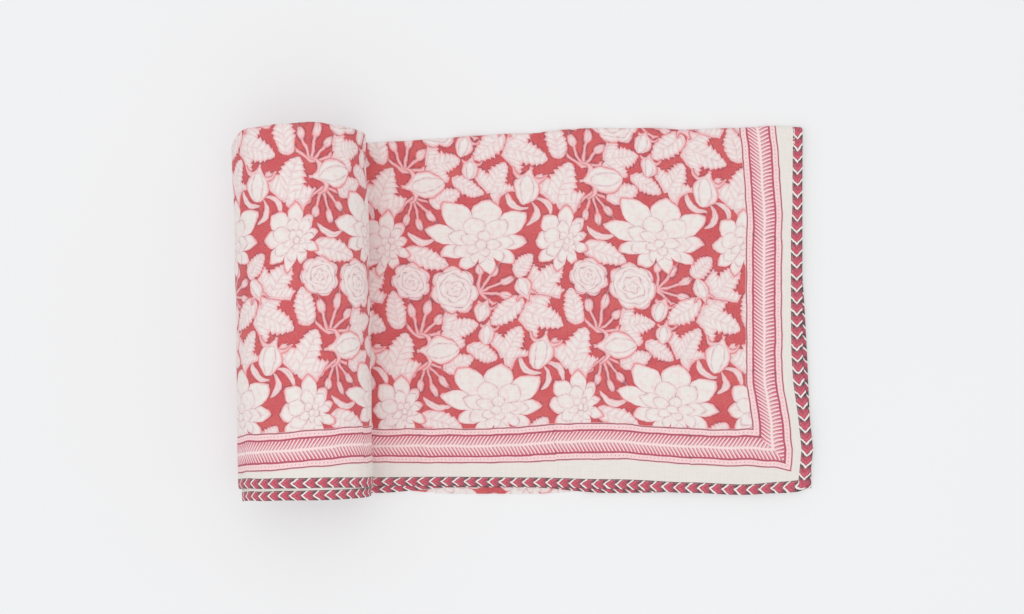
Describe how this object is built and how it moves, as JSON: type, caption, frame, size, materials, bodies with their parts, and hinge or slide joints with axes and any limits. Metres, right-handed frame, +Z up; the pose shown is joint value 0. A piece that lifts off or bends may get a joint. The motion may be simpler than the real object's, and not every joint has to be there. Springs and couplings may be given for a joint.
{
  "type": "rolled dohar blanket",
  "caption": "Block-printed cotton dohar folded in four lengthwise and rolled from one end, with a flat tail and a printed binding along its edges.",
  "frame": {"origin": "middle of the footprint, on the surface that the cloth lies on", "axes": "+X from the roll towards the end of the tail, +Y from the open edges towards the outer fold, +Z up"},
  "size_m": [0.6006, 0.3879, 0.1241],
  "materials": {
    "printed_cotton": "soft matt mulmul cotton, off-white, printed in coral red, pink and fine grey-pink lines",
    "binding": "matt cotton strip printed with crimson and off-white chevrons with dark ticks"
  },
  "bodies": {
    "root": {"cloth": "printed_cotton", "binding_upper_edge": "binding", "binding_lower_edge": "binding", "binding_tail_end": "binding", "binding_core_end": "binding"}
  },
  "joints": []
}
